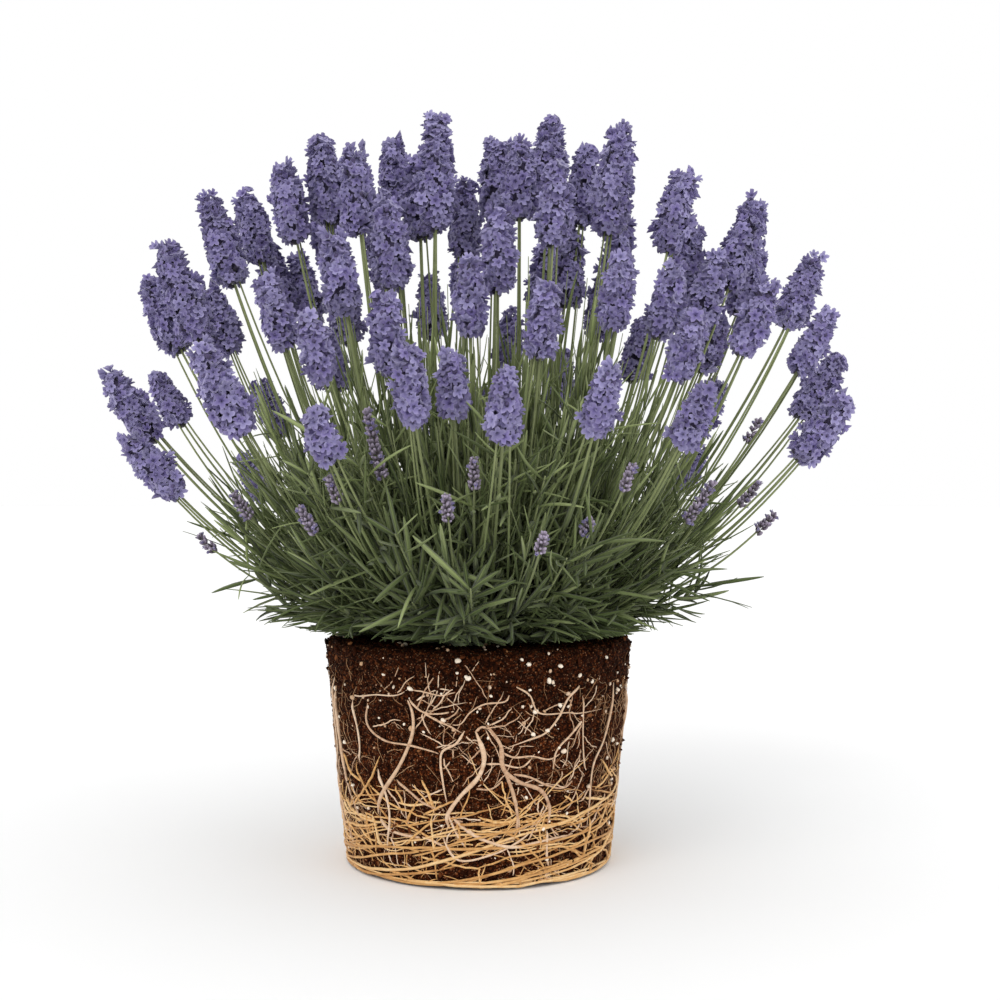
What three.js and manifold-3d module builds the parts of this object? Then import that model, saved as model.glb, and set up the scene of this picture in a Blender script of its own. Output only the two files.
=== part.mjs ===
// A lavender plant lifted out of its pot: compost ball with its roots, woody crown,
// leafy shoots and flower stems. Millimetres, +Z up, the front towards -Y.
// The origin is the middle of the flat base that the ball stands on.
import * as THREE from 'three';
import { mergeVertices } from 'three/addons/utils/BufferGeometryUtils.js';
import Module from 'manifold-3d';

const wasm = await Module();
wasm.setup();

// Driving dimensions
const BALL_HEIGHT = 116;
const BALL_TOP_RADIUS = 80;
const BALL_BASE_RADIUS = 68;
const BALL_EDGE_ROUND = 4;
const PLANT_RISE = 280; // from the compost to the highest tip
const PLANT_SPREAD = 200; // from the axis to the outermost tips
const GAP = 0.4; // between neighbouring solids

const STALK_RADIUS = 1.2;
const STALK_TAPER = 0.7; // its radius under the spike, as a share of that at the foot
const STALK_BOW = 0.08; // how far a stalk sags, as a share of its reach sideways
const INNER_FOOT = 20; // how far from the axis the most upright stalk stands
const FOOT_SHARE = 0.16; // the further out a tip is, the further out its stalk's foot
const SPIKE_RADIUS = 10;

const SHOOT_COUNT = 9;
const SHOOT_FOOT = 62;
const SHOOT_REACH = 72; // outwards
const SHOOT_LIFT = 52; // upwards
const SHOOT_SAG = 6;
const SHOOT_RADIUS = 1.4;
const BARE_SHARE = 0.2; // the share of a shoot below its first leaves
const LEAVES_PER_SHOOT = 14;
const LEAF_LENGTH = 44;
const LEAF_WIDTH = 4.4;
const LEAF_THICKNESS = 1.2;
const LEAF_SPREAD = 42; // degrees between a leaf and its shoot
const PAIR_TURN = 60; // degrees that every other pair is turned round the shoot
const TOP_LEAF_LOSS = 0.35; // how much shorter the leaves get to the shoot's end

const CROWN_RADIUS = 8;
const CROWN_HEIGHT = 22;
const BRANCH_COUNT = 5;
const BRANCH_REACH = 13; // outwards from the axis
const BRANCH_TOP = 33; // above the compost
const BRANCH_RADIUS = 3.2;

const ROOT_RADIUS = 1.3;
const ROOT_END_RADIUS = 0.7;
const ROOT_RINGS = 11;
const MAT_THICKNESS = 1.4;
const MAT_BOTTOM = 4;
const MAT_TOP = 25;

// How finely round and bent shapes are faceted
const BALL_SIDES = 48;
const STEM_SIDES = 8;
const LEAF_SIDES = 4;
const BEND_STEPS = 40;
const WELD = 1e-4;

// Flower tips, chosen by hand: side and depth in hundredths of the spread (+ right, + back),
// rise in hundredths of the plant's rise, and the length of the spike in millimetres.
const FLOWERS = [
  // left flank, from the lowest up
  [-86, -28, 37, 39],
  [-95, -10, 49, 42],
  [-63, -55, 51, 46],
  [-90, 15, 68, 43],
  [-82, -5, 73, 55],
  [-73, 10, 84, 52],
  [-66, 30, 87, 42],
  [-53, 10, 90, 44],
  [-52, -30, 65, 38],
  // top, from left to right
  [-44, 20, 97, 52],
  [-33, -2, 91, 46],
  [-36, -25, 73, 42],
  [-24, 25, 97, 43],
  [-23, -20, 79, 45],
  [-11, 0, 98, 63],
  [5, 25, 97, 45],
  [11, 5, 94, 44],
  [20, 20, 100, 48],
  [20, -10, 87, 43],
  [31, 35, 97, 47],
  [38, 5, 97, 62],
  [54, 0, 87, 44],
  // front, from left to right
  [-36, -68, 40, 25],
  [-40, -48, 57, 34],
  [-23, -40, 61, 40],
  [-16, -65, 50, 36],
  [-2, -35, 67, 37],
  [6, -75, 46, 34],
  [16, -45, 62, 36],
  [29, -65, 47, 32],
  [35, -35, 68, 37],
  [51, -45, 57, 33],
  [51, -60, 44, 30],
  // right flank, from the top down
  [76, 15, 84, 54],
  [91, 10, 72, 42],
  [71, -30, 64, 39],
  [90, -10, 60, 35],
  [101, 25, 54, 43],
  [91, -25, 44, 40],
  // back, from left to right
  [-66, 60, 50, 38],
  [-24, 76, 60, 40],
  [0, 82, 50, 38],
  [-4, 60, 80, 42],
  [72, 56, 50, 40],
];

// Thick roots on the outside of the ball: degrees round from the front, and millimetres up
const ROOTS = [
  [[-1, 78], [2, 66], [0, 56], [-7, 46], [-12, 36], [-11, 29]],
  [[-27, 94], [-24, 85], [-25, 74], [-31, 59], [-40, 44], [-44, 33]],
  [[8, 72], [9, 60], [15, 53], [24, 48], [28, 39], [28, 29]],
  [[176, 92], [180, 78], [188, 64], [186, 48], [192, 32]],
];

const leafGreen = new THREE.MeshStandardMaterial({ color: 0x434a31, roughness: 0.8, metalness: 0 });
const flowerViolet = new THREE.MeshStandardMaterial({ color: 0x6f688c, roughness: 0.85, metalness: 0 });
const barkBrown = new THREE.MeshStandardMaterial({ color: 0x5a4a38, roughness: 0.9, metalness: 0 });
const rootCream = new THREE.MeshStandardMaterial({ color: 0xc8a582, roughness: 0.75, metalness: 0 });
const matGold = new THREE.MeshStandardMaterial({ color: 0x876442, roughness: 0.85, metalness: 0 });
const compostBrown = new THREE.MeshStandardMaterial({ color: 0x503323, roughness: 0.95, metalness: 0 });

const plant = new THREE.Group();

function addPart(name, geometry, material) {
  const part = new THREE.Mesh(geometry, material);
  part.name = name;
  plant.add(part);
}

function numbered(name, index) {
  return `${name}_${String(index + 1).padStart(2, '0')}`;
}

// A solid of revolution about Z. The outline is a list of [radius, height].
function turned(outline, sides) {
  const points = outline.map(([radius, height]) => new THREE.Vector2(radius, height));
  return new THREE.LatheGeometry(points, sides).rotateX(Math.PI / 2);
}

// A solid of revolution bent along a curve: the outline's heights run from 0 at the curve's
// start to 1 at its end. Flatness squashes it across, for a blade.
function bentAlong(curve, outline, sides, flatness = 1) {
  const points = outline.map(([radius, share]) => new THREE.Vector2(radius, share));
  const geometry = new THREE.LatheGeometry(points, sides);
  const frames = curve.computeFrenetFrames(BEND_STEPS);
  const place = geometry.attributes.position;
  for (let i = 0; i < place.count; i += 1) {
    const share = place.getY(i);
    const step = Math.round(share * BEND_STEPS);
    const point = curve.getPointAt(share);
    point.addScaledVector(frames.normals[step], place.getZ(i));
    point.addScaledVector(frames.binormals[step], place.getX(i) * flatness);
    place.setXYZ(i, point.x, point.y, point.z);
  }
  return geometry;
}

// Turns a closed geometry into a solid that can be joined to others.
function solidOf(geometry) {
  const bare = geometry.clone();
  bare.deleteAttribute('normal');
  bare.deleteAttribute('uv');
  const welded = mergeVertices(bare, WELD);
  const corners = welded.index.array;
  const kept = [];
  for (let i = 0; i < corners.length; i += 3) {
    const [a, b, c] = corners.slice(i, i + 3);
    if (a !== b && b !== c && c !== a) {
      kept.push(a, b, c);
    }
  }
  const vertProperties = new Float32Array(welded.attributes.position.array);
  const triVerts = new Uint32Array(kept);
  return new wasm.Manifold(new wasm.Mesh({ numProp: 3, vertProperties, triVerts }));
}

function joined(geometries) {
  const solid = geometries.map(solidOf).reduce((whole, piece) => whole.add(piece));
  const mesh = solid.getMesh();
  const geometry = new THREE.BufferGeometry();
  geometry.setAttribute('position', new THREE.BufferAttribute(mesh.vertProperties, 3));
  geometry.setIndex(new THREE.BufferAttribute(mesh.triVerts, 1));
  geometry.computeVertexNormals();
  return geometry;
}

// The ball's side, a little tapered towards its base
function ballRadius(height) {
  return BALL_BASE_RADIUS + (BALL_TOP_RADIUS - BALL_BASE_RADIUS) * height / BALL_HEIGHT;
}

// A point on the ball's side: degrees round from the front, height, and distance off the side
function onBall(degrees, height, off) {
  const turn = THREE.MathUtils.degToRad(degrees);
  const radius = ballRadius(height) + off;
  return new THREE.Vector3(radius * Math.sin(turn), -radius * Math.cos(turn), height);
}

function compostBall() {
  const round = BALL_EDGE_ROUND;
  const corner = round * (1 - Math.SQRT1_2); // where a quarter circle is halfway round
  const outline = [
    [0, 0],
    [ballRadius(0) - round, 0],
    [ballRadius(corner) - corner, corner],
    [ballRadius(round), round],
    [ballRadius(BALL_HEIGHT - round), BALL_HEIGHT - round],
    [ballRadius(BALL_HEIGHT - corner) - corner, BALL_HEIGHT - corner],
    [ballRadius(BALL_HEIGHT) - round, BALL_HEIGHT],
    [0, BALL_HEIGHT],
  ];
  return turned(outline, BALL_SIDES);
}

// The mat of circling roots: a thin sleeve round the foot of the ball
function rootMat() {
  const inner = GAP;
  const outer = GAP + MAT_THICKNESS;
  const outline = [
    [ballRadius(MAT_BOTTOM) + inner, MAT_BOTTOM],
    [ballRadius(MAT_BOTTOM) + outer, MAT_BOTTOM],
    [ballRadius(MAT_TOP) + outer, MAT_TOP],
    [ballRadius(MAT_TOP) + inner, MAT_TOP],
    [ballRadius(MAT_BOTTOM) + inner, MAT_BOTTOM],
  ];
  return turned(outline, BALL_SIDES);
}

// A thick root, round in section, that hugs the ball and thins to its end
function thickRoot(route) {
  const off = GAP + ROOT_RADIUS;
  const curve = new THREE.CatmullRomCurve3(route.map(([degrees, height]) => onBall(degrees, height, off)));
  const outline = [[0, 0]];
  for (let ring = 0; ring <= ROOT_RINGS; ring += 1) {
    const share = ring / ROOT_RINGS;
    outline.push([THREE.MathUtils.lerp(ROOT_RADIUS, ROOT_END_RADIUS, share), share]);
  }
  outline.push([0, 1]);
  return bentAlong(curve, outline, STEM_SIDES);
}

// The woody stump with its short branches
function crown() {
  const foot = BALL_HEIGHT + GAP;
  const stump = turned([
    [0, foot],
    [CROWN_RADIUS * 1.15, foot],
    [CROWN_RADIUS, foot + CROWN_HEIGHT * 0.4],
    [CROWN_RADIUS * 0.75, foot + CROWN_HEIGHT],
    [0, foot + CROWN_HEIGHT * 1.1],
  ], STEM_SIDES);
  const pieces = [stump];
  const outline = [[0, 0], [BRANCH_RADIUS, 0], [BRANCH_RADIUS * 0.6, 1], [0, 1]];
  for (let i = 0; i < BRANCH_COUNT; i += 1) {
    const start = new THREE.Vector3(0, 0, foot + CROWN_HEIGHT * 0.5);
    const end = outward(i * 360 / BRANCH_COUNT).multiplyScalar(BRANCH_REACH);
    end.z = foot + BRANCH_TOP;
    pieces.push(bentAlong(new THREE.LineCurve3(start, end), outline, STEM_SIDES));
  }
  return joined(pieces);
}

// A level unit vector, so many degrees round from +X
function outward(degrees) {
  const turn = THREE.MathUtils.degToRad(degrees);
  return new THREE.Vector3(Math.cos(turn), Math.sin(turn), 0);
}

// A line that grows out of the compost at foot and ends at tip, by way of bend. Its foot is
// raised so that the edge of a cut end of this radius stands clear of the compost.
function grownLine(foot, bend, tip, radius) {
  const start = bend.clone().sub(foot).normalize();
  foot.z += GAP + radius * Math.hypot(start.x, start.y);
  return new THREE.QuadraticBezierCurve3(foot, bend, tip);
}

// A stalk's line from its foot on the compost to the tip of its spike. It leaves the crown
// leaning out and straightens up as it rises.
function stalkLine([side, depth, rise]) {
  const tip = new THREE.Vector3(side, depth, 0).multiplyScalar(PLANT_SPREAD / 100);
  const out = tip.clone().normalize();
  const foot = out.clone().multiplyScalar(INNER_FOOT + FOOT_SHARE * tip.length());
  foot.z = BALL_HEIGHT;
  tip.z = BALL_HEIGHT + PLANT_RISE * rise / 100;
  const run = tip.clone().sub(foot);
  const bow = STALK_BOW * Math.hypot(run.x, run.y);
  const bend = foot.clone().lerp(tip, 0.5).addScaledVector(out, 2 * bow);
  bend.z -= bow;
  return grownLine(foot, bend, tip, STALK_RADIUS);
}

// Stalk and spike in one: a thin stem, then the blunt, dense head of florets.
function flowerStem(line, spikeLength) {
  const spike = spikeLength / line.getLength();
  const radius = SPIKE_RADIUS * Math.min(1, 0.75 + spikeLength / 160);
  const outline = [[0, 0]];
  for (const share of [0, 0.35, 0.7, 1]) {
    outline.push([STALK_RADIUS * (1 - (1 - STALK_TAPER) * share), share * (1 - spike)]);
  }
  for (const [width, share] of [[0.6, 0.03], [1, 0.25], [1, 0.7], [0.6, 0.95], [0, 1]]) {
    outline.push([radius * width, 1 - spike * (1 - share)]);
  }
  return bentAlong(line, outline, STEM_SIDES);
}

// The room that a solid takes up: points along its line, each with a radius round it
function roomOf(line, radiusAt) {
  const count = 120;
  return line.getSpacedPoints(count).map((point, i) => ({ point, radius: radiusAt(i / count) }));
}

function isClear(taken, room) {
  return !taken.some((one) => room.some((two) => (
    one.point.distanceTo(two.point) < one.radius + two.radius + GAP
  )));
}

// The line of leaf i on a shoot. Leaves stand in pairs, every other pair turned round.
function leafLine(shoot, i) {
  const pair = Math.floor(i / 2);
  const share = BARE_SHARE + (1 - BARE_SHARE) * pair / (LEAVES_PER_SHOOT / 2);
  const start = shoot.getPointAt(share);
  const along = shoot.getTangentAt(share);
  const across = new THREE.Vector3(0, 0, 1).cross(along).normalize();
  const turn = 180 * (i % 2) + PAIR_TURN * (pair % 2);
  across.applyAxisAngle(along, THREE.MathUtils.degToRad(turn));
  const spread = THREE.MathUtils.degToRad(LEAF_SPREAD);
  const course = along.multiplyScalar(Math.cos(spread)).addScaledVector(across, Math.sin(spread));
  const length = LEAF_LENGTH * (1 - TOP_LEAF_LOSS * share);
  return new THREE.LineCurve3(start, start.clone().addScaledVector(course, length));
}

// A shoot that leans out over the ball's edge, with its narrow leaves. No leaf grows where
// it would run into something that is already there, or into the compost.
function leafyShoot(line, taken) {
  const axis = [[0, 0], [SHOOT_RADIUS, 0], [SHOOT_RADIUS * 0.8, 0.5], [SHOOT_RADIUS * 0.4, 1], [0, 1]];
  const halfWidth = LEAF_WIDTH / 2;
  const blade = [[0, 0], [halfWidth * 0.8, 0.25], [halfWidth, 0.65], [0, 1]];
  const pieces = [bentAlong(line, axis, STEM_SIDES)];
  const shootRoom = roomOf(line, () => SHOOT_RADIUS);
  for (let i = 0; i < LEAVES_PER_SHOOT; i += 1) {
    const leaf = leafLine(line, i);
    const leafRoom = roomOf(leaf, () => halfWidth);
    if (leaf.v2.z > BALL_HEIGHT + LEAF_WIDTH && isClear(taken, leafRoom)) {
      pieces.push(bentAlong(leaf, blade, LEAF_SIDES, LEAF_THICKNESS / LEAF_WIDTH));
      shootRoom.push(...leafRoom);
    }
  }
  taken.push(...shootRoom);
  return joined(pieces);
}

function shootLine(index) {
  const out = outward((index + 0.5) * 360 / SHOOT_COUNT);
  const foot = out.clone().multiplyScalar(SHOOT_FOOT);
  foot.z = BALL_HEIGHT;
  const tip = out.clone().multiplyScalar(SHOOT_FOOT + SHOOT_REACH);
  tip.z = BALL_HEIGHT + SHOOT_LIFT;
  const bend = foot.clone().lerp(tip, 0.5);
  bend.z -= SHOOT_SAG;
  return grownLine(foot, bend, tip, SHOOT_RADIUS);
}

addPart('compost_ball', compostBall(), compostBrown);
addPart('root_mat', rootMat(), matGold);
ROOTS.forEach((route, i) => addPart(numbered('thick_root', i), thickRoot(route), rootCream));
addPart('woody_crown', crown(), barkBrown);

const taken = [];
FLOWERS.forEach((flower, i) => {
  const line = stalkLine(flower);
  const spikeLength = flower[3];
  const bareShare = 1 - spikeLength / line.getLength();
  addPart(numbered('flower_stem', i), flowerStem(line, spikeLength), flowerViolet);
  taken.push(...roomOf(line, (share) => (share < bareShare ? STALK_RADIUS : SPIKE_RADIUS)));
});
for (let i = 0; i < SHOOT_COUNT; i += 1) {
  addPart(numbered('leafy_shoot', i), leafyShoot(shootLine(i), taken), leafGreen);
}

export default plant;
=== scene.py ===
"""A lavender plant in flower, lifted out of its pot and standing on its ball of compost.

Everything is in metres, in the row's frame: the origin is the middle of the ball's flat base,
+Z is up and the fuller front faces -Y. The ball, the stems and the shoots take their places
from the CAD nodes; leaves, florets, crumbs and roots are grown on them here.
"""

import bpy
import numpy as np
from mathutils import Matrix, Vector


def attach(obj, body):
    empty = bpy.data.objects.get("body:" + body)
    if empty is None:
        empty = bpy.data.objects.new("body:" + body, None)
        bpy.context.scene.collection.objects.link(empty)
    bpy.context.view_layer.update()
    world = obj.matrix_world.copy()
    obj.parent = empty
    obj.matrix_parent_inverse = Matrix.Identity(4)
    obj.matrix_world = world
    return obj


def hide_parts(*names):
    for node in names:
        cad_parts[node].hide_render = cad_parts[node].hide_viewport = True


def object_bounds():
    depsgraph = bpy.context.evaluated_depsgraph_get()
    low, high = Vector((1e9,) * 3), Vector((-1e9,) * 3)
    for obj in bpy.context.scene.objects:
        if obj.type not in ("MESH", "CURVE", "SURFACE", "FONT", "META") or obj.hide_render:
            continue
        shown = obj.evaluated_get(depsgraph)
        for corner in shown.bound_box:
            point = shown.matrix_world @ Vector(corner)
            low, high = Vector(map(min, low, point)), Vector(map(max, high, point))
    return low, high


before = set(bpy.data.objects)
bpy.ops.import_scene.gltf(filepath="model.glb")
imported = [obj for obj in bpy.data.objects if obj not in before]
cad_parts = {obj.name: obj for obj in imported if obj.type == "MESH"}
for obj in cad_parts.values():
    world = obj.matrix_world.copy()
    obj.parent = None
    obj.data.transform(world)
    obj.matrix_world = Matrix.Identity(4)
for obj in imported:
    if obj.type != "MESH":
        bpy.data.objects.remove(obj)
CAD_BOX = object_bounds()

MM = 0.001
UP = np.array([0.0, 0.0, 1.0])
ASLANT = np.array([0.36, 0.93, 0.05])  # a direction that no stem lies along
GOLDEN_TURN = np.pi * (3 - np.sqrt(5))
ABOUT_A_TURN = 6.3  # in radians
UV_NAME = "OFBake"

# The bands of the UV map's height that each kind of piece takes its colour from
STALK_BAND = (0.02, 0.18)
CALYX_BAND = (0.22, 0.38)
PETAL_BAND = (0.42, 0.98)
WHOLE_BAND = (0.02, 0.98)
LEAF_ROWS = 40


# ---------------------------------------------------------------- shapes

class Shape:
    """Points (n, 3), four- and three-cornered faces, a UV for each point, and the number of
    the finish that its faces take."""

    def __init__(self, points, quads, tris, uv, finish=0):
        self.points = points.reshape(-1, 3)
        self.quads = quads.reshape(-1, 4)
        self.tris = tris.reshape(-1, 3)
        self.uv = uv.reshape(-1, 2)
        self.quad_finish = np.full(len(self.quads), finish)
        self.tri_finish = np.full(len(self.tris), finish)

    def faced_out(self):
        """The same shape with its faces turned round if its volume, the sum of the triple
        products of its triangles over six, comes out negative."""
        a, b, c = (self.points[self.tris[:, i]] for i in range(3))
        volume = np.einsum("ij,ij->", a, np.cross(b, c))
        for i, j, k in ((0, 1, 2), (0, 2, 3)):
            a, b, c = (self.points[self.quads[:, n]] for n in (i, j, k))
            volume += np.einsum("ij,ij->", a, np.cross(b, c))
        if volume < 0:
            self.quads = self.quads[:, ::-1]
            self.tris = self.tris[:, ::-1]
        return self


def joined(shapes):
    """One shape that holds them all, each keeping its own finish."""
    starts = np.cumsum([0] + [len(s.points) for s in shapes])
    whole = Shape(
        np.concatenate([s.points for s in shapes]),
        np.concatenate([s.quads + start for s, start in zip(shapes, starts)]),
        np.concatenate([s.tris + start for s, start in zip(shapes, starts)]),
        np.concatenate([s.uv for s in shapes]),
    )
    whole.quad_finish = np.concatenate([s.quad_finish for s in shapes])
    whole.tri_finish = np.concatenate([s.tri_finish for s in shapes])
    return whole


def add_piece(name, shape, finishes, nodes=(), crisp=-1, mapped=True):
    """Puts a shape into a mesh object, on the part's one body, standing for the given nodes.
    Its faces shade smoothly, but for those of the finish numbered crisp. A piece whose finish
    goes by the place alone isn't mapped."""
    mesh = bpy.data.meshes.new(name)
    corners = np.concatenate([shape.quads.ravel(), shape.tris.ravel()]).astype(np.int32)
    quad_starts = np.arange(len(shape.quads)) * 4
    tri_starts = len(shape.quads) * 4 + np.arange(len(shape.tris)) * 3
    starts = np.concatenate([quad_starts, tri_starts]).astype(np.int32)
    mesh.vertices.add(len(shape.points))
    mesh.vertices.foreach_set("co", shape.points.ravel())
    mesh.loops.add(len(corners))
    mesh.loops.foreach_set("vertex_index", corners)
    mesh.polygons.add(len(starts))
    mesh.polygons.foreach_set("loop_start", starts)
    for finish in finishes:
        mesh.materials.append(finish)
    kinds = np.concatenate([shape.quad_finish, shape.tri_finish]).astype(np.int32)
    mesh.polygons.foreach_set("material_index", kinds)
    mesh.polygons.foreach_set("use_smooth", kinds != crisp)
    mesh.update(calc_edges=True)
    if mapped:
        layer = mesh.uv_layers.new(name=UV_NAME)
        layer.data.foreach_set("uv", shape.uv[corners].ravel())
    piece = bpy.data.objects.new(name, mesh)
    bpy.context.scene.collection.objects.link(piece)
    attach(piece, "root")
    if nodes:
        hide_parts(*nodes)


def unit(vectors):
    """Vectors divided by their own lengths."""
    return vectors / np.maximum(np.linalg.norm(vectors, axis=-1, keepdims=True), 1e-12)


def in_band(share, band):
    """A share from 0 to 1 moved into a band of the UV map's height."""
    return band[0] + (band[1] - band[0]) * share


def square_to(way, along):
    """Along less its share in each way, as unit vectors: a - w (a . w)."""
    return unit(along - way * np.sum(along * way, axis=-1, keepdims=True))


def taper(first, last, count, rings):
    """Radii for count paths, given in millimetres, that go evenly from first to last."""
    return np.broadcast_to(np.linspace(first, last, rings) * MM, (count, rings))


def level_way(turn):
    """The level directions at turns in radians from +X."""
    return np.stack([np.cos(turn), np.sin(turn), 0 * turn], axis=-1)


def ring_faces(m, k):
    """The faces of a skin over m rings of k points, numbered ring by ring, with a pole at each
    end whose numbers come last: quads between the rings, and a fan of triangles at each pole."""
    here = np.arange(k)
    after = (here + 1) % k
    row = (np.arange(m - 1) * k)[:, None]
    last = (m - 1) * k
    quads = np.stack([row + here, row + after, row + after + k, row + here + k], axis=-1)
    near = np.stack([after, here, np.full(k, m * k)], axis=-1)
    far = np.stack([last + here, last + after, np.full(k, m * k + 1)], axis=-1)
    return quads.reshape(-1, 4), np.concatenate([near, far])


def tubes(paths, wide, sides, tone, band, finish=0, thick=None, ref=ASLANT, roll=0.0):
    """Closed tubes along paths (n, m, 3). Round each point of a path stands an ellipse of
    half-axes wide and thick (n, m), a circle where thick isn't given: the wide way is path
    direction x ref, the thick way is at right angles to both. Roll lowers a point by its share
    of the width, squared, times the half-width, so that a blade's edges turn down. u runs
    along the path and v is the tone."""
    thick = wide if thick is None else thick
    n, m = paths.shape[:2]
    along = unit(np.gradient(paths, axis=1))
    across = unit(np.cross(along, np.broadcast_to(ref, paths.shape)))
    above = np.cross(across, along)
    turn = np.arange(sides) * 2 * np.pi / sides
    side = np.cos(turn)
    lift = np.sin(turn)
    out = across[:, :, None] * (wide[:, :, None] * side)[..., None]
    off = thick[:, :, None] * lift - roll * wide[:, :, None] * side ** 2
    rings = paths[:, :, None] + out + above[:, :, None] * off[..., None]
    points = np.concatenate([rings.reshape(n, m * sides, 3), paths[:, :1], paths[:, -1:]], axis=1)
    start = (np.arange(n) * (m * sides + 2))[:, None, None]
    quads, tris = ring_faces(m, sides)
    u = np.broadcast_to(np.linspace(0, 1, m)[:, None], (n, m, sides)).reshape(n, -1)
    u = np.concatenate([u, np.zeros((n, 1)), np.ones((n, 1))], axis=1)
    v = np.broadcast_to(in_band(tone, band)[:, None], u.shape)
    uv = np.stack([u, v], axis=-1)
    return Shape(points, start + quads, start + tris, uv, finish).faced_out()


def copies(template, facings, places, spins, sizes, tones, band, finish=0):
    """Copies of a template whose own axis is +Z: each is turned about that axis by its spin,
    tipped so that the axis lies along its facing, scaled and moved to its place. v is its tone."""
    n = len(places)
    out = unit(facings)
    helper = np.where(np.abs(out[:, 2:]) > 0.9, [[1.0, 0.0, 0.0]], UP[None])
    side = unit(np.cross(helper, out))
    over = np.cross(out, side)
    c, s = np.cos(spins)[:, None], np.sin(spins)[:, None]
    axes = np.stack([side * c + over * s, over * c - side * s, out], axis=2)
    points = np.einsum("nij,pj->npi", axes * sizes[:, None, None], template.points)
    points += places[:, None]
    start = (np.arange(n) * len(template.points))[:, None, None]
    u = np.broadcast_to(template.uv[:, 0], (n, len(template.points)))
    v = np.broadcast_to(in_band(tones, band)[:, None], u.shape)
    uv = np.stack([u, v], axis=-1)
    return Shape(points, start + template.quads, start + template.tris, uv, finish)


def turned_rings(radii, heights, u):
    """A closed template from rings (m, k) of radii at heights (m, k) round +Z, with a pole
    under the first ring and one over the last. u is given for each pole and ring."""
    m, k = radii.shape[0] - 2, radii.shape[1]
    turn = np.arange(k) * 2 * np.pi / k
    rings = np.stack([radii * np.cos(turn), radii * np.sin(turn), heights], axis=-1)
    points = np.concatenate([rings[1:-1].reshape(-1, 3), rings[0, :1], rings[-1, :1]])
    around = np.repeat(u[1:-1], k)
    uv = np.stack([np.concatenate([around, u[:1], u[-1:]]), np.zeros(m * k + 2)], axis=-1)
    return Shape(points, *ring_faces(m, k), uv).faced_out()


# ---------------------------------------------------------------- finishes

class Value:
    """A number that varies over a surface: a node's output socket. Arithmetic on it adds
    Math nodes."""

    def __init__(self, finish, socket):
        self.finish = finish
        self.socket = socket

    def _math(self, operation, *values):
        node = self.finish.node("ShaderNodeMath", {"operation": operation}, dict(enumerate(values)))
        return Value(self.finish, node.outputs[0])

    def __add__(self, other):
        return self._math("ADD", self, other)

    def __radd__(self, other):
        return self._math("ADD", other, self)

    def __sub__(self, other):
        return self._math("SUBTRACT", self, other)

    def __rsub__(self, other):
        return self._math("SUBTRACT", other, self)

    def __mul__(self, other):
        return self._math("MULTIPLY", self, other)

    def __rmul__(self, other):
        return self._math("MULTIPLY", other, self)

    def __truediv__(self, other):
        return self._math("DIVIDE", self, other)

    def floor(self):
        return self._math("FLOOR", self)

    def fraction(self):
        return self._math("FRACT", self)

    def distance(self, other):
        return self._math("ABSOLUTE", self - other)


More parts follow.
